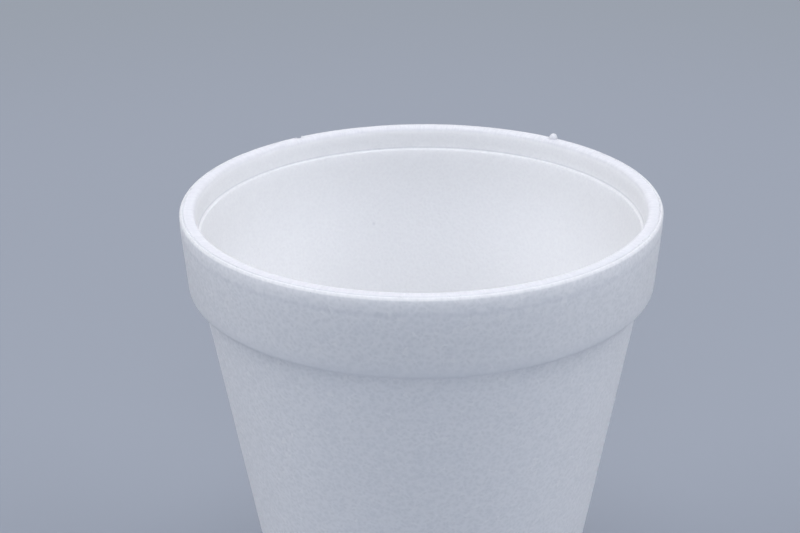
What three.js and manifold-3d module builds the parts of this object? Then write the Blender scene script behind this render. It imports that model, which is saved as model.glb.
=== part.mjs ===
// A takeaway cup, moulded in one piece from expanded polystyrene beads.
// Millimetres, +Z up. The origin is on the cup's axis, in the plane of its foot ring.
import * as THREE from "three";
import { mergeVertices } from "three/addons/utils/BufferGeometryUtils.js";
import Module from "manifold-3d";

// Overall
const cupHeight = 92; // foot plane to the top of the rim
const rimRadius = 39.7; // widest place, on the bead just under the rim
const footRadius = 25.2; // outside of the wall, where it reaches the foot plane
const wallThickness = 2.15; // of the tapered wall, measured level

// Rim: a level land, and outside its parting line a narrow edge that slopes down
const rimWidth = 2.3; // rim bead to the mouth's upper edge
const partingInset = 0.5; // outer edge to the parting line of the two mould halves
const edgeDrop = 0.42; // outer edge lies this far under the land
const mouthFillet = 0.75;
const edgeFillet = 0.2;

// Bead under the rim, which a lid snaps over
const beadDepth = 2.7;
const beadInset = 0.12; // outer edge lies this far inside the bead
const beadCrown = 12; // radius of the bead's soft crown

// Collar: its lower edge lands on the rim of the next cup in a stack
const collarDepth = 13.4; // rim to the collar's lower edge
const collarDraft = 0.7; // radius lost from the bead to the lower edge
const collarStep = 1.9; // lower edge to the wall
const collarEdgeFillet = 1.3;
const collarRootFillet = 0.3;

// Ledge inside the mouth
const ledgeDepth = 4; // under the rim
const ledgeWidth = 0.6;
const ledgeFillet = 0.25;

// Foot ring, raised underside and floor
const footFillet = 1;
const footRingWidth = 2.9;
const footRingFillet = 0.4;
const recessHeight = 2.6; // foot plane up to the underside of the floor
const recessDraft = 0.6;
const recessFillet = 1;
const floorThickness = 2.5;
const floorFillet = 3;

// Round mark that the bead filler leaves in the middle of the underside
const gateRadius = 4.5;
const gateHeight = 0.4; // it stands this far down from the underside
const gateDraft = 0.25;
const gateFillet = 0.15;

// Small faults of this cup's rim. Angles are counted from +X towards +Y.
const strayBeadDiameter = 1.45; // a loose bead that fused to the top of the rim
const strayBeadRise = 0.85; // how far it stands above the rim
const strayBeadAngle = 50.7;
const notchDiameter = 2.4; // of the round hollow that nicks the outer edge
const notchDepth = 0.4;
const notchAngle = 126;

const sidesAround = 80; // facets of the revolved body
const arcStep = THREE.MathUtils.degToRad(32); // turn of one facet in a fillet
const ballSides = 12; // facets round a small ball
const weldDistance = 1e-4; // points nearer than this are one
const filletShare = 0.45; // most of a side that one fillet may take up

const foamColour = "#f1f3f7";
const foamRoughness = 0.82;

// Heights and radii that follow from the sizes above
const mouthRadius = rimRadius - rimWidth;
const edgeRadius = rimRadius - beadInset;
const collarHeight = cupHeight - collarDepth;
const collarRadius = rimRadius - collarDraft;
const wallTopRadius = collarRadius - collarStep;
const ledgeHeight = cupHeight - ledgeDepth;
const floorHeight = recessHeight + floorThickness;
const footRingRadius = footRadius - footRingWidth;
const recessRadius = footRingRadius - recessDraft;
const gateLevel = recessHeight - gateHeight;

// The wall's outside is one straight cone, from the foot plane to the collar.
const wallTaper = (wallTopRadius - footRadius) / collarHeight;
const insideRadius = (height) => footRadius + wallTaper * height - wallThickness;

// Each corner is [radius, height, fillet]. A fillet becomes an arc that touches both sides.
function filletedProfile(corners) {
  const points = corners.map(([radius, height]) => new THREE.Vector2(radius, height));
  return points.flatMap((corner, i) => {
    const fillet = corners[i][2];
    if (!fillet) return [corner];
    const toLast = points[i - 1].clone().sub(corner);
    const toNext = points[i + 1].clone().sub(corner);
    const halfAngle = toLast.angleTo(toNext) / 2;
    const room = filletShare * Math.min(toLast.length(), toNext.length());
    const setback = Math.min(fillet / Math.tan(halfAngle), room);
    const start = toLast.clone().setLength(setback).add(corner);
    const bisector = toLast.clone().normalize().add(toNext.clone().normalize());
    const centre = bisector.setLength(setback / Math.cos(halfAngle)).add(corner);
    const turn = (Math.PI - 2 * halfAngle) * Math.sign(toNext.cross(toLast));
    const steps = Math.ceil(Math.abs(turn) / arcStep);
    return Array.from({ length: steps + 1 }, (_, k) =>
      start.clone().rotateAround(centre, (turn * k) / steps),
    );
  });
}

// The section runs from the axis under the cup, up the outside, over the rim and down inside.
function cupSection() {
  const underside = [
    [0, gateLevel],
    [gateRadius, gateLevel, gateFillet],
    [gateRadius + gateDraft, recessHeight, gateFillet],
    [recessRadius, recessHeight, recessFillet],
    [footRingRadius, 0, footRingFillet],
  ];
  const outside = [
    [footRadius, 0, footFillet],
    [wallTopRadius, collarHeight, collarRootFillet],
    [collarRadius, collarHeight, collarEdgeFillet],
    [rimRadius, cupHeight - beadDepth, beadCrown],
    [edgeRadius, cupHeight - edgeDrop, edgeFillet],
    [edgeRadius - partingInset, cupHeight],
  ];
  const inside = [
    [mouthRadius, cupHeight, mouthFillet],
    [insideRadius(ledgeHeight) + ledgeWidth, ledgeHeight, ledgeFillet],
    [insideRadius(ledgeHeight), ledgeHeight, ledgeFillet],
    [insideRadius(floorHeight), floorHeight, floorFillet],
    [0, floorHeight],
  ];
  return filletedProfile([...underside, ...outside, ...inside]);
}

const wasm = await Module();
wasm.setup();

function solidFrom(geometry) {
  geometry.deleteAttribute("normal");
  geometry.deleteAttribute("uv");
  const merged = mergeVertices(geometry, weldDistance);
  return new wasm.Manifold(
    new wasm.Mesh({
      numProp: 3,
      vertProperties: merged.getAttribute("position").array,
      triVerts: new Uint32Array(merged.getIndex().array),
    }),
  );
}

function geometryFrom(solid) {
  const { vertProperties, triVerts } = solid.getMesh();
  const geometry = new THREE.BufferGeometry();
  geometry.setAttribute("position", new THREE.BufferAttribute(vertProperties, 3));
  geometry.setIndex(new THREE.BufferAttribute(triVerts, 1));
  geometry.computeVertexNormals();
  return geometry;
}

// A revolved geometry stands along Y, and a quarter turn about X stands it up along Z.
function revolvedCup() {
  return solidFrom(new THREE.LatheGeometry(cupSection(), sidesAround).rotateX(Math.PI / 2));
}

// A ball whose middle lies at an angle round the rim, and at a radius and height.
function ballAt(diameter, angle, radius, height) {
  const turn = THREE.MathUtils.degToRad(angle);
  const ball = new THREE.SphereGeometry(diameter / 2, ballSides, ballSides / 2);
  ball.rotateX(Math.PI / 2);
  ball.translate(radius * Math.cos(turn), radius * Math.sin(turn), height);
  return solidFrom(ball);
}

// The stray bead sits on the land beside the parting line, partly sunk into it.
function strayBead() {
  const middleHeight = cupHeight + strayBeadRise - strayBeadDiameter / 2;
  const middleRadius = edgeRadius - partingInset;
  return ballAt(strayBeadDiameter, strayBeadAngle, middleRadius, middleHeight);
}

function rimNotch() {
  const middleHeight = cupHeight - notchDepth + notchDiameter / 2;
  return ballAt(notchDiameter, notchAngle, edgeRadius, middleHeight);
}

const foam = new THREE.MeshStandardMaterial({
  color: foamColour,
  roughness: foamRoughness,
  metalness: 0,
});

const cup = new THREE.Mesh(
  geometryFrom(revolvedCup().subtract(rimNotch()).add(strayBead())),
  foam,
);
cup.name = "cup";

const group = new THREE.Group();
group.add(cup);

export default group;
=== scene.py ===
# %% [markdown]
# # A foam cup
# The real cup is one moulding. Small beads of polystyrene are blown into a mould, and steam swells
# them until they fuse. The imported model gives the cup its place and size. This file gives it the
# surface that the eye sees, in small steps that can be run and looked at one by one.

# %% Load the frame
import math

import bpy
from mathutils import Matrix, Vector


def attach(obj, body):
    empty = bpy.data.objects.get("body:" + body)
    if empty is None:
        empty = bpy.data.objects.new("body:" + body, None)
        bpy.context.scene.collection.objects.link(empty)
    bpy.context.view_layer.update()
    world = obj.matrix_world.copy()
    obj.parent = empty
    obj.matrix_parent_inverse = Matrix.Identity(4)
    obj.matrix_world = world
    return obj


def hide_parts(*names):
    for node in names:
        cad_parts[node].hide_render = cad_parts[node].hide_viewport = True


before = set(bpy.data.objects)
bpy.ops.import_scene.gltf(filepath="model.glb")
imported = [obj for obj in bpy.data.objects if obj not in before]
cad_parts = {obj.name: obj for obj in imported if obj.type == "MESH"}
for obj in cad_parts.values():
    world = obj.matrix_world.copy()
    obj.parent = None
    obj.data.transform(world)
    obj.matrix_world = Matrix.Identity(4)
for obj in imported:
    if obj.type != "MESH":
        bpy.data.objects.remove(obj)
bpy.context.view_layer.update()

# %% [markdown]
# ## Units, colours and nodes
# Sizes are written in millimetres and colours as sRGB hex, as a maker would note them. Blender
# wants metres and linear colour, so each is turned in one place. One helper adds a node to any
# tree, with its settings, values and links. Another starts a Geometry Nodes tree with its inputs.

# %% Helpers
MM = 0.001


def linear(hex_colour):
    """An sRGB hex colour as linear RGBA."""
    channels = [int(hex_colour[i:i + 2], 16) / 255 for i in (1, 3, 5)]
    return [c / 12.92 if c <= 0.04045 else ((c + 0.055) / 1.055) ** 2.4 for c in channels] + [1.0]


def add(tree, kind, inputs=None, **settings):
    """Adds a node. `inputs` maps a socket's name or number to a value or to another socket."""
    node = tree.nodes.new(kind)
    for name, value in settings.items():
        setattr(node, name, value)
    for name, value in (inputs or {}).items():
        if isinstance(value, bpy.types.NodeSocket):
            tree.links.new(value, node.inputs[name])
        else:
            node.inputs[name].default_value = value
    return node


def new_tree(name, inputs):
    """A Geometry Nodes tree with one output, its input node, and the identifier of each input."""
    tree = bpy.data.node_groups.new(name, "GeometryNodeTree")
    made = {
        label: tree.interface.new_socket(label, in_out="INPUT", socket_type="NodeSocket" + kind)
        for label, kind in inputs.items()
    }
    tree.interface.new_socket("Result", in_out="OUTPUT", socket_type="NodeSocketGeometry")
    return tree, add(tree, "NodeGroupInput").outputs, {k: s.identifier for k, s in made.items()}


print("one millimetre is", MM, "m, and mid grey is", round(linear("#808080")[0], 3), "linear")

# %% [markdown]
# ## The cup's sizes
# These are the sizes of the real cup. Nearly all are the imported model's own, written again, because
# the fine surface has to lie where the solid lies. Only the rim's outer edge, its mouth and the
# ledge are drawn up to 0.3 mm off the solid's, where the photograph shows them so close up. Radii
# are counted from the cup's axis and heights from the plane that the foot stands on.

# %% Sizes of the cup, in millimetres
CUP_HEIGHT = 92.0
RIM_RADIUS = 39.7
FOOT_RADIUS = 25.2
WALL_THICKNESS = 2.15
RIM_WIDTH = 2.6
LAND_END = 0.55  # the level land of the rim ends this far outside the mouth
MOUTH_DROP = 0.25  # the surface then sinks this far, before it turns steep
MOUTH_DEPTH = 1.1  # how far under the rim the steep part ends
MOUTH_LEAN = 0.1  # it leans in by this, before and after the mouth's radius
PARTING_INSET = 0.6
EDGE_DROP = 0.42
EDGE_BEVEL = 0.28
BEVEL_DROP = EDGE_DROP / 8  # the bevel's upper end lies this far under the land
BEAD_DEPTH = 2.7  # the collar is widest this far under the rim
BEAD_INSET = 0.03  # the rim's outer edge lies this far inside its widest place
COLLAR_DEPTH = 13.4
COLLAR_DRAFT = 0.7
COLLAR_STEP = 1.9
LEDGE_DEPTH = 4.1
LEDGE_WIDTH = 0.45
FOOT_RING_WIDTH = 2.9
RECESS_HEIGHT = 2.6
RECESS_DRAFT = 0.6
FLOOR_THICKNESS = 2.5
GATE_RADIUS = 4.5
GATE_HEIGHT = 0.4
GATE_DRAFT = 0.25

mouth_radius = RIM_RADIUS - RIM_WIDTH
edge_radius = RIM_RADIUS - BEAD_INSET
parting_radius = edge_radius - PARTING_INSET
crown_height = CUP_HEIGHT - BEAD_DEPTH
collar_height = CUP_HEIGHT - COLLAR_DEPTH
collar_radius = RIM_RADIUS - COLLAR_DRAFT
wall_top_radius = collar_radius - COLLAR_STEP
wall_taper = (wall_top_radius - FOOT_RADIUS) / collar_height
foot_ring_radius = FOOT_RADIUS - FOOT_RING_WIDTH
ledge_height = CUP_HEIGHT - LEDGE_DEPTH
floor_height = RECESS_HEIGHT + FLOOR_THICKNESS


def inside_radius(height):
    """Radius of the inside of the tapered wall."""
    return FOOT_RADIUS + wall_taper * height - WALL_THICKNESS


print("wall taper in degrees:", round(math.degrees(math.atan(wall_taper)), 2))

# %% [markdown]
# ## The section
# A moulded cup is drawn as half a section and spun about its axis. Each corner has a fillet, since
# foam can't hold a sharp edge. Three things that only show close up are drawn finer than in the
# solid's section: the groove on top of the rim, where the two halves of the mould met, the small
# bevel of the outer edge, and the soft rounding of the mouth.

# %% Section of the cup
GROOVE_WIDTH = 0.34
GROOVE_DEPTH = 0.15
CROWN_ROUNDING = 0.045  # the solid's rounded crown lies this far inside its corner
ARC_STEP = math.radians(15)  # turn between two points of a fillet
LONGEST_STEP = 2.4  # between two points of a straight side
FILLET_SHARE = 0.45  # most of a side that one fillet may take up

crown_radius = RIM_RADIUS - CROWN_ROUNDING
half_groove = GROOVE_WIDTH / 2

# radius, height and fillet of each corner, from under the cup, up the outside and down inside
corners = [
    (0.0, RECESS_HEIGHT - GATE_HEIGHT, 0.0),
    (GATE_RADIUS, RECESS_HEIGHT - GATE_HEIGHT, 0.15),
    (GATE_RADIUS + GATE_DRAFT, RECESS_HEIGHT, 0.15),
    (foot_ring_radius - RECESS_DRAFT, RECESS_HEIGHT, 1.0),
    (foot_ring_radius, 0.0, 0.4),
    (FOOT_RADIUS, 0.0, 1.0),
    (wall_top_radius, collar_height, 0.3),
    (collar_radius, collar_height, 1.0),
    (crown_radius, crown_height, 6.0),
    (edge_radius, CUP_HEIGHT - EDGE_DROP, 0.2),
    (edge_radius - EDGE_BEVEL, CUP_HEIGHT - BEVEL_DROP, 0.25),
    (parting_radius + half_groove, CUP_HEIGHT, 0.05),
    (parting_radius, CUP_HEIGHT - GROOVE_DEPTH, 0.03),
    (parting_radius - half_groove, CUP_HEIGHT, 0.05),
    (mouth_radius + LAND_END, CUP_HEIGHT, 0.9),
    (mouth_radius + MOUTH_LEAN, CUP_HEIGHT - MOUTH_DROP, 0.9),
    (mouth_radius - MOUTH_LEAN, CUP_HEIGHT - MOUTH_DEPTH, 1.2),
    (inside_radius(ledge_height) + LEDGE_WIDTH, ledge_height, 0.25),
    (inside_radius(ledge_height), ledge_height, 0.25),
    (inside_radius(floor_height), floor_height, 3.0),
    (0.0, floor_height, 0.0),
]


def rounded(last, corner, following, fillet):
    """The points of an arc that touches both sides of a corner."""
    to_last = last - corner
    to_next = following - corner
    half_angle = to_last.angle(to_next) / 2
    room = FILLET_SHARE * min(to_last.length, to_next.length)
    setback = min(fillet / math.tan(half_angle), room)
    bisector = (to_last.normalized() + to_next.normalized()).normalized()
    centre = corner + bisector * setback / math.cos(half_angle)
    spoke = corner + to_last.normalized() * setback - centre
    turn = (math.pi - 2 * half_angle) * math.copysign(1, to_next.cross(to_last))
    steps = max(1, math.ceil(abs(turn) / ARC_STEP))
    return [centre + Matrix.Rotation(turn * k / steps, 2) @ spoke for k in range(steps + 1)]


def section_points(corner_list):
    """The section as a line of points, with arcs at the fillets and even steps along the sides."""
    places = [Vector(corner[:2]) for corner in corner_list]
    points = [places[0]]
    for i in range(1, len(places) - 1):
        points += rounded(places[i - 1], places[i], places[i + 1], corner_list[i][2])
    points.append(places[-1])
    line = [points[0]]
    for point in points[1:]:
        last = line[-1]
        steps = max(1, math.ceil((point - last).length / LONGEST_STEP))
        line += [last.lerp(point, k / steps) for k in range(1, steps + 1)]
    return line


section = section_points(corners)
print("points in the section:", len(section))

# %% [markdown]
# ## The section as a curve
# A node tree can't read a Python list, but it can read a curve object. The section is stored as
# one, and the tree takes its points by their number.

# %% Section curve
curve = bpy.data.curves.new("section", "CURVE")
curve.dimensions = "3D"
spline = curve.splines.new("POLY")
spline.points.add(len(section) - 1)
for point, spot in zip(spline.points, section):
    point.co = (spot.x * MM, 0.0, spot.y * MM, 1.0)
section_object = bpy.data.objects.new("section", curve)
bpy.context.scene.collection.objects.link(section_object)
print("section curve:", len(spline.points), "points")

# %% [markdown]
# ## Spinning the section
# The body follows one rule, so Geometry Nodes make it. A grid has a row for each point of the
# section and a column for each step round the axis, and each of its points is moved to its place.
# The last column meets the first and the end rows meet on the axis, so a merge closes the surface.
# A Screw modifier could spin it too, but a grid shows how such a body is made.

# %% Tree that spins the section
tree, given, spin_inputs = new_tree(
    "spun cup", {"Section": "Object", "Sides": "Int", "Weld": "Float"}
)
curve_in = add(tree, "GeometryNodeObjectInfo", {"Object": given["Section"]}).outputs["Geometry"]
counted = add(
    tree, "GeometryNodeAttributeDomainSize", {"Geometry": curve_in}, component="CURVE"
)
rows = counted.outputs["Point Count"]
columns = add(tree, "ShaderNodeMath", {0: given["Sides"], 1: 1.0}, operation="ADD")
grid = add(tree, "GeometryNodeMeshGrid", {"Vertices X": columns.outputs[0], "Vertices Y": rows})
index = add(tree, "GeometryNodeInputIndex").outputs[0]
ratio = add(tree, "ShaderNodeMath", {0: index, 1: rows}, operation="DIVIDE")
column = add(tree, "ShaderNodeMath", {0: ratio.outputs[0]}, operation="FLOOR")
row = add(tree, "ShaderNodeMath", {0: index, 1: rows}, operation="MODULO")
share = add(tree, "ShaderNodeMath", {0: column.outputs[0], 1: given["Sides"]}, operation="DIVIDE")
angle = add(tree, "ShaderNodeMath", {0: share.outputs[0], 1: math.tau}, operation="MULTIPLY")
sampled = add(
    tree,
    "GeometryNodeSampleIndex",
    {"Geometry": curve_in, "Index": row.outputs[0]},
    data_type="FLOAT_VECTOR",
    domain="POINT",
)
place = add(tree, "GeometryNodeInputPosition").outputs[0]
tree.links.new(place, sampled.inputs["Value"])
turned = add(
    tree,
    "ShaderNodeVectorRotate",
    {"Vector": sampled.outputs["Value"], "Angle": angle.outputs[0]},
    rotation_type="Z_AXIS",
)
spun = add(
    tree, "GeometryNodeSetPosition", {"Geometry": grid.outputs["Mesh"], "Position": turned.outputs[0]}
)
closed = add(
    tree, "GeometryNodeMergeByDistance", {"Geometry": spun.outputs[0], "Distance": given["Weld"]}
)
add(tree, "NodeGroupOutput", {"Result": closed.outputs[0]})
spin_tree = tree
print("spin tree:", len(tree.nodes), "nodes")

# %% [markdown]
# ## Unevenness
# Fused beads never lie quite level: the surface sinks a few hundredths of a millimetre between
# them, and a little more where the mould was filled unevenly. A second tree pushes each point in
# along its normal by two noises, a broad one and one at the width of a bead or two. It only pushes
# inwards, so the cup stays inside its solid.

# %% Tree that makes it uneven
tree, given, uneven_inputs = new_tree(
    "uneven foam",
    {
        "Cup": "Geometry",
        "Broad width": "Float",
        "Broad depth": "Float",
        "Fine width": "Float",
        "Fine depth": "Float",
    },
)
pushes = []
for size in ("Broad", "Fine"):
    pitch = add(tree, "ShaderNodeMath", {0: 1.0, 1: given[size + " width"]}, operation="DIVIDE")
    noise = add(tree, "ShaderNodeTexNoise", {"Scale": pitch.outputs[0], "Detail": 1.0})
    push = add(
        tree, "ShaderNodeMath", {0: noise.outputs[0], 1: given[size + " depth"]}, operation="MULTIPLY"
    )
    pushes.append(push.outputs[0])
depth = add(tree, "ShaderNodeMath", {0: pushes[0], 1: pushes[1]}, operation="ADD")
inwards = add(tree, "ShaderNodeMath", {0: depth.outputs[0], 1: -1.0}, operation="MULTIPLY")
normal = add(tree, "GeometryNodeInputNormal").outputs[0]
offset = add(
    tree, "ShaderNodeVectorMath", {0: normal, "Scale": inwards.outputs[0]}, operation="SCALE"
)
pushed = add(
    tree, "GeometryNodeSetPosition", {"Geometry": given["Cup"], "Offset": offset.outputs[0]}
)
add(tree, "NodeGroupOutput", {"Result": pushed.outputs[0]})
uneven_tree = tree
print("unevenness tree:", len(tree.nodes), "nodes")

# %% [markdown]
# ## Faults of the rim
# This cup has a stray bead that fused to the top of its rim, a small nick in the outer edge with
# torn crumbs beside it, and fine crumbs of foam along the parting line, where the mould closed on
# loose beads. Each is a rough ball. The balls that stand proud are joined to the cup by a boolean,
# and the ball of the nick is cut away, so the cup stays one closed surface.

# %% Tree that adds the faults
BALL_ROUGHNESS = 0.25  # share of a ball's radius that noise moves
BALL_LEVEL = 4
CRUMB_LEVEL = 2


def rough_ball(tree, width, level):
    """A rough ball of a given width, in the middle of the frame."""
    radius = add(tree, "ShaderNodeMath", {0: width, 1: 0.5}, operation="MULTIPLY").outputs[0]
    ball = add(tree, "GeometryNodeMeshIcoSphere", {"Radius": radius, "Subdivisions": level})
    pitch = add(tree, "ShaderNodeMath", {0: 1.0, 1: width}, operation="DIVIDE").outputs[0]
    noise = add(tree, "ShaderNodeTexNoise", {"Scale": pitch, "Detail": 1.0}).outputs[0]
    level_noise = add(tree, "ShaderNodeMath", {0: noise, 1: 0.5}, operation="SUBTRACT").outputs[0]
    reach = add(tree, "ShaderNodeMath", {0: radius, 1: 2 * BALL_ROUGHNESS}, operation="MULTIPLY")
    push = add(tree, "ShaderNodeMath", {0: level_noise, 1: reach.outputs[0]}, operation="MULTIPLY")
    normal = add(tree, "GeometryNodeInputNormal").outputs[0]
    offset = add(tree, "ShaderNodeVectorMath", {0: normal, "Scale": push.outputs[0]}, operation="SCALE")
    return add(
        tree, "GeometryNodeSetPosition", {"Geometry": ball.outputs["Mesh"], "Offset": offset.outputs[0]}
    ).outputs[0]


tree, given, fault_inputs = new_tree(
    "rim faults",
    {
        "Cup": "Geometry",
        "Foam": "Material",
        "Bead width": "Float",
        "Bead place": "Vector",
        "Nick width": "Float",
        "Nick place": "Vector",
        "Crumb places": "Object",
        "Crumb width": "Float",
        "Seed": "Int",
    },
)
nick = rough_ball(tree, given["Nick width"], BALL_LEVEL)
nick = add(tree, "GeometryNodeTransform", {"Geometry": nick, "Translation": given["Nick place"]})
cut = add(tree, "GeometryNodeMeshBoolean", {"Mesh 1": given["Cup"]}, operation="DIFFERENCE")
tree.links.new(nick.outputs[0], cut.inputs["Mesh 2"])

stray = rough_ball(tree, given["Bead width"], BALL_LEVEL)
stray = add(tree, "GeometryNodeTransform", {"Geometry": stray, "Translation": given["Bead place"]})
spots = add(tree, "GeometryNodeObjectInfo", {"Object": given["Crumb places"]}).outputs["Geometry"]
crumb = rough_ball(tree, given["Crumb width"], CRUMB_LEVEL)
size = add(tree, "GeometryNodeInputNamedAttribute", {"Name": "size"}).outputs[0]
turn = add(
    tree,
    "FunctionNodeRandomValue",
    {1: (math.tau, math.tau, math.tau), "Seed": given["Seed"]},
    data_type="FLOAT_VECTOR",
)
crumbs = add(
    tree,
    "GeometryNodeInstanceOnPoints",
    {"Points": spots, "Instance": crumb, "Rotation": turn.outputs[0], "Scale": size},
)
loose = add(tree, "GeometryNodeRealizeInstances", {"Geometry": crumbs.outputs[0]}).outputs[0]
joined = add(tree, "GeometryNodeMeshBoolean", operation="UNION")
for mesh in (cut.outputs["Mesh"], stray.outputs[0], loose):
    tree.links.new(mesh, joined.inputs["Mesh 2"])
for boolean in (cut, joined):
    boolean.solver = "MANIFOLD"
print("faults tree:", len(tree.nodes), "nodes so far")

# %% [markdown]
# ## Shading and material
# The faces are shaded smooth, but an edge that turns by more than a few steps of a fillet stays
# crisp, as where a crumb meets the rim. Then the tree makes the crumbs real and sets the foam.

# %% End of the tree
CRISP_ANGLE = math.radians(38)

smooth = add(tree, "GeometryNodeSetShadeSmooth", {"Geometry": joined.outputs["Mesh"]})
bend = add(tree, "GeometryNodeInputMeshEdgeAngle").outputs["Unsigned Angle"]
crisp = add(tree, "FunctionNodeCompare", {"A": bend, "B": CRISP_ANGLE}, operation="GREATER_THAN")
edges = add(
    tree,
    "GeometryNodeSetShadeSmooth",
    {"Geometry": smooth.outputs[0], "Selection": crisp.outputs[0], "Shade Smooth": False},
    domain="EDGE",
)
real = add(tree, "GeometryNodeRealizeInstances", {"Geometry": edges.outputs[0]})
dressed = add(
    tree, "GeometryNodeSetMaterial", {"Geometry": real.outputs[0], "Material": given["Foam"]}
)
add(tree, "NodeGroupOutput", {"Result": dressed.outputs[0]})
fault_tree = tree
print("faults tree:", len(tree.nodes), "nodes")

# %% [markdown]
# ## Where the crumbs lie
# Angles are counted from +X towards +Y, seen from above, so the front of the cup is at 270 degrees.
# A few crumbs are placed one by one, beside the nick and at the front of the rim, where the photograph
# shows them. The rest are fine ones, scattered by a fixed seed along the parting line.

# %% Crumbs
import random

CRUMB_WIDTH = 1.0  # of a crumb of size 1
FINE_CRUMBS = 46
FINE_SIZES = (0.12, 0.24)
FINE_DEPTHS = (0.02, 0.08)  # of their middles under the rim
FINE_SPREAD = 0.35  # how far they stray inwards from the parting line, and half as far outwards
SCATTER_SEED = 11

# angle, radius, depth of the middle under the rim, size
placed_crumbs = [
    (124.7, edge_radius - 0.6, 0.16, 0.5),
    (124.9, parting_radius - 0.5, 0.12, 0.36),
    (269.6, edge_radius - 0.45, 0.5, 0.8),
]
dice = random.Random(SCATTER_SEED)
fine_crumbs = [
    (
        dice.uniform(0, 360),
        parting_radius + dice.uniform(-FINE_SPREAD, FINE_SPREAD / 2),
        dice.uniform(*FINE_DEPTHS),
        dice.uniform(*FINE_SIZES),
    )
    for _ in range(FINE_CRUMBS)
]


def on_rim(angle, radius, depth):
    """A place by its angle, its radius and its depth under the rim, in metres."""
    turn = math.radians(angle)
    return Vector((radius * math.cos(turn), radius * math.sin(turn), CUP_HEIGHT - depth)) * MM


crumb_list = placed_crumbs + fine_crumbs
crumb_mesh = bpy.data.meshes.new("crumb places")
crumb_mesh.from_pydata([on_rim(*crumb[:3]) for crumb in crumb_list], [], [])
sizes = crumb_mesh.attributes.new("size", "FLOAT", "POINT")
sizes.data.foreach_set("value", [crumb[3] for crumb in crumb_list])
crumb_object = bpy.data.objects.new("crumb places", crumb_mesh)
bpy.context.scene.collection.objects.link(crumb_object)
print("crumbs:", len(crumb_list))

# %% [markdown]
# ## Moulded expanded polystyrene
# The foam is white and matt, and it lets light through: light that enters the lit rim comes out a
# little way down the collar, and the thin wall glows faintly with the light inside the cup. So it
# is a Principled shader with subsurface scattering. Each bead is a cell about 0.65 mm wide, pressed
# flat by the mould. The fused skins between beads are a touch lighter than their middles, and now
# and then a bead is lighter than its neighbours. Voronoi cells have just that pattern.

# %% Foam: the beads
BEAD_WIDTH = 0.65
BEAD_SHIFT = 1.0  # how far the beads stray from a regular packing, from 0 to 1
SKIN_AT = 0.8  # share of a bead's width from its middle at which its skin is palest
WARP_WIDTH = 1.1
WARP_REACH = 0.45  # millimetres that the pattern is pulled about, so no two beads are alike
PATCH_WIDTH = 3.0  # width of the patches where the beads show more or less
PATCH_SHOW = 0.8  # how much they show where they show least
NOISE_LOW, NOISE_HIGH = 0.35, 0.65  # nearly all values of a noise lie between these
PALE_LOW, PALE_HIGH = 0.965, 0.99  # a bead turns pale as its random value goes through these

# It gives the eye an even matt white, with soft edges where light runs on inside the foam.
foam = bpy.data.materials.new("moulded expanded polystyrene")
foam.use_nodes = True
shade = foam.node_tree
shade.nodes.clear()
where = add(shade, "ShaderNodeTexCoord").outputs["Object"]
warp_look = {"Vector": where, "Scale": 1 / (WARP_WIDTH * MM), "Detail": 0.0}
warp = add(shade, "ShaderNodeTexNoise", warp_look).outputs[1]
level_warp = {0: warp, 1: (0.5, 0.5, 0.5)}
pull = add(shade, "ShaderNodeVectorMath", level_warp, operation="SUBTRACT").outputs[0]
scaled = {0: pull, "Scale": 2 * WARP_REACH * MM}
pull = add(shade, "ShaderNodeVectorMath", scaled, operation="SCALE").outputs[0]
pulled = add(shade, "ShaderNodeVectorMath", {0: where, 1: pull}, operation="ADD").outputs[0]
cells = {"Vector": pulled, "Scale": 1 / (BEAD_WIDTH * MM), "Randomness": BEAD_SHIFT}
bead = add(shade, "ShaderNodeTexVoronoi", cells, feature="F1").outputs
bead_value = add(shade, "ShaderNodeSeparateXYZ", {0: bead["Color"]}).outputs

# A Map Range takes its value, From Min, From Max, To Min and To Max as inputs 0 to 4.
rising = add(shade, "ShaderNodeMapRange", {0: bead["Distance"], 1: 0.0, 2: SKIN_AT}).outputs[0]
patch_look = {"Vector": where, "Scale": 1 / (PATCH_WIDTH * MM), "Detail": 1.0}
patches = add(shade, "ShaderNodeTexNoise", patch_look).outputs[0]
patch_range = {0: patches, 1: NOISE_LOW, 2: NOISE_HIGH, 3: PATCH_SHOW, 4: 1.0}
patch = add(shade, "ShaderNodeMapRange", patch_range).outputs[0]
skin = add(shade, "ShaderNodeMath", {0: rising, 1: patch}, operation="MULTIPLY").outputs[0]
pale_range = {0: bead_value[1], 1: PALE_LOW, 2: PALE_HIGH}
pale_bead = add(shade, "ShaderNodeMapRange", pale_range).outputs[0]
print("beads across the rim's width:", round(RIM_WIDTH / BEAD_WIDTH, 1))

# %% [markdown]
# The inside is painted whiter than the outside. This is painted light, for the light that gathers
# inside the cup. Whatever lies within the middle of the tapered wall, and above the floor, is
# inside. On the rounding at the collar's foot the beads show less, since they packed tight in that
# corner.

# %% Foam: outside and inside
EDGE_SHOW = 0.3  # how much of the beads shows on the rounding at the collar's foot
EDGE_FROM, EDGE_TO = 0.5, 3.0  # heights over the collar's foot between which they come out
BLEND = 0.25  # half the width over which one finish turns into the other

height = add(shade, "ShaderNodeSeparateXYZ", {0: where}).outputs[2]
level = {0: where, 1: (1.0, 1.0, 0.0)}
flat = add(shade, "ShaderNodeVectorMath", level, operation="MULTIPLY").outputs[0]
away = add(shade, "ShaderNodeVectorMath", {0: flat}, operation="NORMALIZE").outputs[0]
radius = add(shade, "ShaderNodeVectorMath", {0: flat}, operation="LENGTH").outputs["Value"]

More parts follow.
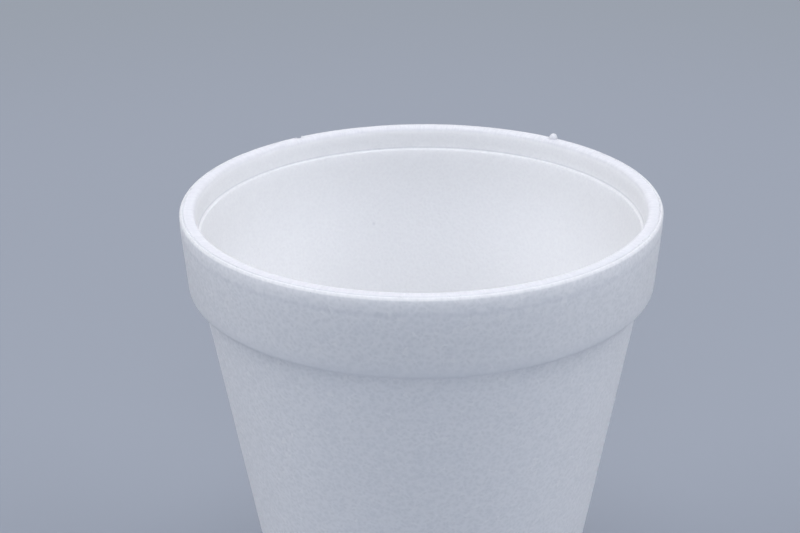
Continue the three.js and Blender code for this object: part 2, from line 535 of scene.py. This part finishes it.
straight = {0: height, 1: -wall_taper, 2: radius}
untapered = add(shade, "ShaderNodeMath", straight, operation="MULTIPLY_ADD").outputs[0]
wall_middle = FOOT_RADIUS - WALL_THICKNESS / 2
within_range = {0: untapered, 1: (wall_middle + BLEND) * MM, 2: (wall_middle - BLEND) * MM}
within = add(shade, "ShaderNodeMapRange", within_range).outputs[0]
above_range = {0: height, 1: RECESS_HEIGHT * MM, 2: floor_height * MM}
above = add(shade, "ShaderNodeMapRange", above_range).outputs[0]
inside = add(shade, "ShaderNodeMath", {0: within, 1: above}, operation="MULTIPLY").outputs[0]

collar_range = {0: radius, 1: wall_top_radius * MM, 2: (wall_top_radius + BLEND) * MM}
on_collar = add(shade, "ShaderNodeMapRange", collar_range).outputs[0]
edge_range = {
    0: height,
    1: (collar_height + EDGE_FROM) * MM,
    2: (collar_height + EDGE_TO) * MM,
    3: 1 - EDGE_SHOW,
    4: 0.0,
}
low_down = add(shade, "ShaderNodeMapRange", edge_range).outputs[0]
hidden = {0: on_collar, 1: low_down}
hidden = add(shade, "ShaderNodeMath", hidden, operation="MULTIPLY").outputs[0]
rest = {0: 1.0, 1: hidden}
show = add(shade, "ShaderNodeMath", rest, operation="SUBTRACT", use_clamp=True).outputs[0]
print("bead pattern at the collar's foot:", EDGE_SHOW, "of that elsewhere")

# %% [markdown]
# Where the mould halves met, the beads were dragged across the rim, and short streaks run in and
# out over the land. A noise that is stretched along the radius gives them. It is read on a ring of
# one radius, so it has no seam.

# %% Foam: streaks on the rim
STREAK_WIDTH = 0.42
STREAK_STRETCH = 0.22
LAND_DEPTH = 1.0  # the streaks fade out this far under the rim
LAND_TOP = 0.15  # and show in full above this

around = {0: away, "Scale": RIM_RADIUS * MM}
ring = add(shade, "ShaderNodeVectorMath", around, operation="SCALE").outputs[0]
stretched = {0: radius, 1: STREAK_STRETCH}
stretched = add(shade, "ShaderNodeMath", stretched, operation="MULTIPLY").outputs[0]
along = add(shade, "ShaderNodeCombineXYZ", {"Z": stretched}).outputs[0]
streak_place = add(shade, "ShaderNodeVectorMath", {0: ring, 1: along}, operation="ADD").outputs[0]
streak_look = {
    "Vector": streak_place,
    "Scale": 1 / (STREAK_WIDTH * MM),
    "Detail": 2.0,
    "Roughness": 0.6,
}
streaks = add(shade, "ShaderNodeTexNoise", streak_look).outputs[0]
land_range = {0: height, 1: (CUP_HEIGHT - LAND_DEPTH) * MM, 2: (CUP_HEIGHT - LAND_TOP) * MM}
on_land = add(shade, "ShaderNodeMapRange", land_range).outputs[0]
streaks_shown = {0: streaks, 1: on_land}
streaks_shown = add(shade, "ShaderNodeMath", streaks_shown, operation="MULTIPLY").outputs[0]
print("streaks round the rim:", round(math.tau * RIM_RADIUS / STREAK_WIDTH))

# %% [markdown]
# ## The foam's colour and relief
# Nearly white. The middles of the beads are a little greyer than their skins. The land of the rim,
# where the beads were dragged, is painted greyer too: painted shade, for how the light falls on it.
# Three fine lines are painted darker, as painted shade in creases: the crown of the collar, the
# groove on the rim and the corner over the ledge. The inside is painted whiter than the outside,
# as painted light. Two specks of dust lie on the cup, one under the front edge and one inside, and
# each is a small blot at its own place. The relief adds the skins, the streaks and a fine grain, in
# millimetres, so its scale can be checked.

# %% Foam: colour
MIDDLE_COLOUR = "#eaebec"
# painted light: the inside gets whiter colours than the outside, for the light inside the cup
INSIDE_PAINTED_LIGHT_MIDDLE = "#f8f8f9"
INSIDE_PAINTED_LIGHT_SKIN = "#ffffff"
SKIN_COLOUR = "#fbfbfc"
PALE_COLOUR = "#ffffff"
SPECK_COLOUR = "#8f939c"
SPECK_STRENGTH = 0.2  # of a speck one millimetre wide; a smaller one is darker
# painted shade: the land of the rim is painted greyer, for how the light falls on it
LAND_SHADE_COLOUR = "#dfdfe3"
MEAN_TONE = 0.55  # tone of foam whose beads don't show, from middle to skin
# painted shade: the colour of three thin dark lines in the creases
CREASE_SHADE_COLOUR = "#cbccd0"
BEAD_SPREAD = 0.1  # how much one bead differs from another, as a share of middle to skin
LAND_FAINTEST = 0.72  # how much of the land's colour shows where it shows least
LAND_START = 0.05  # outside the parting line, where the land's colour starts
LAND_FULL = 0.15  # inside it, where it is full
LINE_FAINTEST = 0.5  # how much of the line on the crown shows where it shows least
LINE_LOW, LINE_HIGH = 0.4, 0.6  # values of the patches between which it comes out
GROOVE_SHADE_END = 1.2  # depth under the rim where the tone of the parting line ends
GROOVE_SHADE_FULL = 0.8

differ = {0: bead_value[0], 1: BEAD_SPREAD, 2: skin}
bead_tone = add(shade, "ShaderNodeMath", differ, operation="MULTIPLY_ADD").outputs[0]
partly = {0: show, 2: MEAN_TONE, 3: bead_tone}
pattern = add(shade, "ShaderNodeMix", partly, data_type="FLOAT").outputs[0]

# A Mix of colours takes its share as input 0 and the colours as inputs 6 and 7.
# painted light: where the code finds the inside, it mixes in the whiter inside colours
middles = {0: inside, 6: linear(MIDDLE_COLOUR), 7: linear(INSIDE_PAINTED_LIGHT_MIDDLE)}
middles = add(shade, "ShaderNodeMix", middles, data_type="RGBA").outputs[2]
skins = {0: inside, 6: linear(SKIN_COLOUR), 7: linear(INSIDE_PAINTED_LIGHT_SKIN)}
skins = add(shade, "ShaderNodeMix", skins, data_type="RGBA").outputs[2]
tone = {0: pattern, 6: middles, 7: skins}
tone = add(shade, "ShaderNodeMix", tone, data_type="RGBA").outputs[2]

# each layer is a share and a colour, laid over what is under it
pale_shown = add(shade, "ShaderNodeMath", {0: pale_bead, 1: show}, operation="MULTIPLY")
layers = [(pale_shown.outputs[0], PALE_COLOUR)]

# painted shade on the land of the rim, patchy along the streaks of dragged beads
inner_range = {
    0: radius,
    1: (parting_radius + LAND_START) * MM,
    2: (parting_radius - LAND_FULL) * MM,
}
inner = add(shade, "ShaderNodeMapRange", inner_range).outputs[0]
dragged_range = {0: streaks, 1: NOISE_LOW, 2: NOISE_HIGH, 3: LAND_FAINTEST, 4: 1.0}
dragged = add(shade, "ShaderNodeMapRange", dragged_range).outputs[0]
land_shade = on_land
for factor in (inner, dragged):
    land_shade = add(shade, "ShaderNodeMath", {0: land_shade, 1: factor}, operation="MULTIPLY").outputs[0]
layers.append((land_shade, LAND_SHADE_COLOUR))

near_top = {
    0: height,
    1: (CUP_HEIGHT - GROOVE_SHADE_END) * MM,
    2: (CUP_HEIGHT - GROOVE_SHADE_FULL) * MM,
}
near_top = add(shade, "ShaderNodeMapRange", near_top).outputs[0]
patchy = {0: patches, 1: LINE_LOW, 2: LINE_HIGH, 3: LINE_FAINTEST, 4: 1.0}
patchy = add(shade, "ShaderNodeMapRange", patchy).outputs[0]
on_crown = add(shade, "ShaderNodeMath", {0: on_collar, 1: patchy}, operation="MULTIPLY").outputs[0]

# painted shade: thin dark lines in the creases, at the crown of the collar, in the groove on the rim
# and in the corner over the ledge
# what a line is measured along, where it lies, its half width, its strength, and where it shows
shade_lines = [
    (height, crown_height, 0.7, 0.2, on_crown),
    (radius, parting_radius, 0.27, 0.5, near_top),
    (height, ledge_height + 0.2, 0.25, 0.4, inside),
]
for measure, spot, half_width, strength, mask in shade_lines:
    off = add(shade, "ShaderNodeMath", {0: measure, 1: spot * MM}, operation="SUBTRACT").outputs[0]
    off = add(shade, "ShaderNodeMath", {0: off}, operation="ABSOLUTE").outputs[0]
    fall = {0: off, 1: 0.0, 2: half_width * MM, 3: strength, 4: 0.0}
    line = add(shade, "ShaderNodeMapRange", fall, interpolation_type="SMOOTHSTEP").outputs[0]
    line = add(shade, "ShaderNodeMath", {0: line, 1: mask}, operation="MULTIPLY").outputs[0]
    layers.append((line, CREASE_SHADE_COLOUR))

# angle, radius, depth under the rim and width of each speck of dust
specks = [
    (247.0, edge_radius, 0.5, 0.3),
    (105.4, inside_radius(73.8), 18.2, 1.0),
]
for turn_to, from_axis, below, width in specks:
    ends = {0: where, 1: on_rim(turn_to, from_axis, below)}
    gap = add(shade, "ShaderNodeVectorMath", ends, operation="DISTANCE").outputs["Value"]
    fall = {0: gap, 1: 0.0, 2: width / 2 * MM, 3: SPECK_STRENGTH / width, 4: 0.0}
    layers.append((add(shade, "ShaderNodeMapRange", fall).outputs[0], SPECK_COLOUR))

for amount, colour in layers:
    layer = {0: amount, 6: tone, 7: linear(colour)}
    tone = add(shade, "ShaderNodeMix", layer, data_type="RGBA").outputs[2]
print("layers of tone:", len(layers), "and of them specks:", len(specks))

# %% Foam: relief and shader
SKIN_RELIEF = 0.02  # millimetres that the skins stand over the middles
STREAK_RELIEF = 0.06
GRAIN_RELIEF = 0.012
GRAIN_WIDTH = 0.2
LIGHT_REACH = 2.0  # millimetres that light travels in the foam between two turns

grain_look = {"Vector": where, "Scale": 1 / (GRAIN_WIDTH * MM), "Detail": 1.0}
grain = add(shade, "ShaderNodeTexNoise", grain_look).outputs[0]
relief = add(shade, "ShaderNodeMath", {0: grain, 1: GRAIN_RELIEF}, operation="MULTIPLY").outputs[0]
skin_shown = add(shade, "ShaderNodeMath", {0: skin, 1: show}, operation="MULTIPLY").outputs[0]
for part, rise in ((skin_shown, SKIN_RELIEF), (streaks_shown, STREAK_RELIEF)):
    raised = {0: part, 1: rise, 2: relief}
    relief = add(shade, "ShaderNodeMath", raised, operation="MULTIPLY_ADD").outputs[0]
bump = add(shade, "ShaderNodeBump", {"Height": relief, "Strength": 1.0, "Distance": MM}).outputs[0]
surface = add(
    shade,
    "ShaderNodeBsdfPrincipled",
    {
        "Base Color": tone,
        "Roughness": 0.62,
        "IOR": 1.45,
        "Specular IOR Level": 0.35,
        "Subsurface Weight": 1.0,
        "Subsurface Radius": (1.0, 1.0, 1.0),
        "Subsurface Scale": LIGHT_REACH * MM,
        "Normal": bump,
    },
)
add(shade, "ShaderNodeOutputMaterial", {"Surface": surface.outputs[0]})
print("foam shader:", len(shade.nodes), "nodes")

# %% [markdown]
# ## Making the cup
# The three trees stand one after another on one empty mesh. Each input is set by its identifier.
# The result is taken as a plain mesh, the helpers are removed, and the mesh is attached to the root
# body so it rides with it, while the solid's own part is hidden.

# %% Make the cup
SIDES = 480
WELD = 0.001
TURN_SEED = 5  # for the turns of the crumbs
UNEVEN ={"Broad width": 9.0, "Broad depth": 0.05, "Fine width": 1.4, "Fine depth": 0.035}
BEAD = {"width": 1.55, "rise": 0.84, "angle": 50.5}
NICK = {"width": 1.8, "depth": 1.1, "angle": 125.7}

bead_place = on_rim(BEAD["angle"], parting_radius, BEAD["width"] / 2 - BEAD["rise"])
nick_place = on_rim(NICK["angle"], edge_radius - EDGE_BEVEL / 2, NICK["depth"] - NICK["width"] / 2)
steps = [
    (spin_tree, spin_inputs, {"Section": section_object, "Sides": SIDES, "Weld": WELD * MM}),
    (uneven_tree, uneven_inputs, {name: value * MM for name, value in UNEVEN.items()}),
    (
        fault_tree,
        fault_inputs,
        {
            "Foam": foam,
            "Bead width": BEAD["width"] * MM,
            "Bead place": bead_place,
            "Nick width": NICK["width"] * MM,
            "Nick place": nick_place,
            "Crumb places": crumb_object,
            "Crumb width": CRUMB_WIDTH * MM,
            "Seed": TURN_SEED,
        },
    ),
]
blank = bpy.data.objects.new("blank", bpy.data.meshes.new("blank"))
bpy.context.scene.collection.objects.link(blank)
for step_tree, identifiers, values in steps:
    step = blank.modifiers.new(step_tree.name, "NODES")
    step.node_group = step_tree
    for name, value in values.items():
        step[identifiers[name]] = value
graph = bpy.context.evaluated_depsgraph_get()
cup_mesh = bpy.data.meshes.new_from_object(blank.evaluated_get(graph))
blank.modifiers.clear()
for helper in (blank, section_object, crumb_object):
    bpy.data.objects.remove(helper)
cup = bpy.data.objects.new("foam_cup", cup_mesh)
bpy.context.scene.collection.objects.link(cup)
cup_mesh.calc_loop_triangles()
print("cup: vertices", len(cup_mesh.vertices), "triangles", len(cup_mesh.loop_triangles))

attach(cup, "root")
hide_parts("cup")

# %% [markdown]
# ## Floor
# A plain pale sheet, wide enough to fill the view. Near the cup it is a real sheet that takes the
# cup's shadow. Further out it turns into the plain colour of the backdrop for whatever looks at it,
# so no edge shows.

# %% Floor
FLOOR_COLOUR = "#9ba1ab"
BACKDROP_COLOUR = "#9aa1ac"
FLOOR_HALF = 3.0  # metres
FADE_FROM = 0.3
FADE_TO = 0.7


def seen(tree):
    """1 for a ray of the camera, or one that a gloss or a clear material sends on, else 0."""
    ray = add(tree, "ShaderNodeLightPath").outputs
    first = {0: ray["Is Camera Ray"], 1: ray["Is Glossy Ray"]}
    first = add(tree, "ShaderNodeMath", first, operation="MAXIMUM").outputs[0]
    last = {0: first, 1: ray["Is Transmission Ray"]}
    return add(tree, "ShaderNodeMath", last, operation="MAXIMUM").outputs[0]


square = [(-1, -1), (1, -1), (1, 1), (-1, 1)]
floor_mesh = bpy.data.meshes.new("floor")
floor_mesh.from_pydata([(x * FLOOR_HALF, y * FLOOR_HALF, 0) for x, y in square], [], [(0, 1, 2, 3)])
floor = bpy.data.objects.new("floor", floor_mesh)
bpy.context.scene.collection.objects.link(floor)
# It gives the eye an even blue-grey, against which the white foam stands out.
sheet = bpy.data.materials.new("pale card")
sheet.use_nodes = True
card = sheet.node_tree
card.nodes.clear()
card_place = add(card, "ShaderNodeTexCoord").outputs["Object"]
reach = add(card, "ShaderNodeVectorMath", {0: card_place}, operation="LENGTH").outputs["Value"]
fade = add(
    card,
    "ShaderNodeMapRange",
    {"Value": reach, "From Min": FADE_FROM, "From Max": FADE_TO},
    interpolation_type="SMOOTHSTEP",
).outputs[0]
plain = add(card, "ShaderNodeMath", {0: fade, 1: seen(card)}, operation="MULTIPLY").outputs[0]
lit = add(card, "ShaderNodeBsdfPrincipled", {"Base Color": linear(FLOOR_COLOUR), "Roughness": 0.9})
unlit = add(card, "ShaderNodeEmission", {"Color": linear(BACKDROP_COLOUR), "Strength": 1.0})
both = add(card, "ShaderNodeMixShader", {0: plain, 1: lit.outputs[0], 2: unlit.outputs[0]})
add(card, "ShaderNodeOutputMaterial", {"Surface": both.outputs[0]})
floor_mesh.materials.append(sheet)
print("floor:", 2 * FLOOR_HALF, "m wide")

# %% [markdown]
# ## Light
# Large soft lamps, all aimed at the cup. Two at the sides, halfway up, and one straight above light
# the rim and the inside. Low ones at the sides and in front fill the outside, which faces slightly
# down, and reach under the collar. One behind gives the rim a faint sheen. Their brightness is set
# so that a level surface renders at about the colour it is painted in.

# %% Lights
LAMP_DISTANCE = 1.6  # metres
LAMP_SIZE = 1.3
AIM_HEIGHT = 0.08  # of the place on the axis that all of them face
HIGH_TINT = "#f7f8fe"
LOW_TINT = "#e4edfd"

# name: direction round the cup and height over the floor in degrees, watts, colour
lamps = {
    "left high": (180, 45, 11.0, HIGH_TINT),
    "right high": (0, 45, 10.4, HIGH_TINT),
    "top": (270, 89, 10.8, HIGH_TINT),
    "left low": (180, 22, 0.2, LOW_TINT),
    "right low": (0, 22, 1.5, LOW_TINT),
    "front": (270, 38, 6.5, LOW_TINT),
    "front low": (270, 10, 1.5, LOW_TINT),
    "back": (90, 18, 6.0, HIGH_TINT),
}
aim = Vector((0, 0, AIM_HEIGHT))
for name, (direction, rise, watts, colour) in lamps.items():
    round_to = math.radians(direction)
    up = math.radians(rise)
    way = Vector((math.cos(up) * math.cos(round_to), math.cos(up) * math.sin(round_to), math.sin(up)))
    lamp = bpy.data.lights.new(name, "AREA")
    lamp.shape = "DISK"
    lamp.size = LAMP_SIZE
    lamp.energy = watts
    lamp.color = linear(colour)[:3]
    holder = bpy.data.objects.new(name, lamp)
    holder.location = aim + way * LAMP_DISTANCE
    holder.rotation_euler = way.to_track_quat("Z", "Y").to_euler()
    bpy.context.scene.collection.objects.link(holder)
print("lamps:", len(lamps), "with", sum(lamp[2] for lamp in lamps.values()), "W in all")

# %% [markdown]
# The world gives a very weak glow to what no lamp reaches, and a plain backdrop to what looks at it.

# %% World
GLOW_COLOUR = "#dfe8ff"
GLOW_STRENGTH = 0.03

world = bpy.data.worlds.new("studio")
bpy.context.scene.world = world
world.use_nodes = True
sky = world.node_tree
sky.nodes.clear()
glow = add(sky, "ShaderNodeBackground", {"Color": linear(GLOW_COLOUR), "Strength": GLOW_STRENGTH})
backdrop = add(sky, "ShaderNodeBackground", {"Color": linear(BACKDROP_COLOUR), "Strength": 1.0})
pick = add(sky, "ShaderNodeMixShader", {0: seen(sky), 1: glow.outputs[0], 2: backdrop.outputs[0]})
add(sky, "ShaderNodeOutputWorld", {"Surface": pick.outputs[0]})
print("world glow:", GLOW_STRENGTH)

# %% [markdown]
# ## Camera
# It stands as the photograph's camera stood: about 20 cm in front of the cup and 17 cm up, looking
# down at 24 degrees. The lens is given by its focal length in pixels of the photograph.

# %% Camera
PHOTO_WIDTH = 800  # pixels
FOCAL_PIXELS = 1300
SENSOR_WIDTH = 36.0
CAMERA_DISTANCE = 201.8  # millimetres in front of the axis
CAMERA_RISE = 76.8  # millimetres above the rim
CAMERA_DOWN = math.radians(23.918)
CAMERA_TURN = math.radians(-1.004)
CAMERA_ROLL = math.radians(-0.721)
NEAREST = 0.01  # metres

lens = bpy.data.cameras.new("camera")
lens.sensor_width = SENSOR_WIDTH
lens.lens = SENSOR_WIDTH * FOCAL_PIXELS / PHOTO_WIDTH
lens.clip_start = NEAREST
camera = bpy.data.objects.new("camera", lens)
turned_down = Matrix.Rotation(math.pi / 2 - CAMERA_DOWN, 4, "X")
turned_aside = Matrix.Rotation(-CAMERA_TURN, 4, "Z")
rolled = Matrix.Rotation(CAMERA_ROLL, 4, "Z")
stand = Vector((0, -CAMERA_DISTANCE, CUP_HEIGHT + CAMERA_RISE)) * MM
camera.matrix_world = Matrix.Translation(stand) @ turned_aside @ turned_down @ rolled
bpy.context.scene.collection.objects.link(camera)
bpy.context.scene.camera = camera
bpy.context.scene.view_settings.view_transform = "Standard"
print("lens in millimetres:", lens.lens)
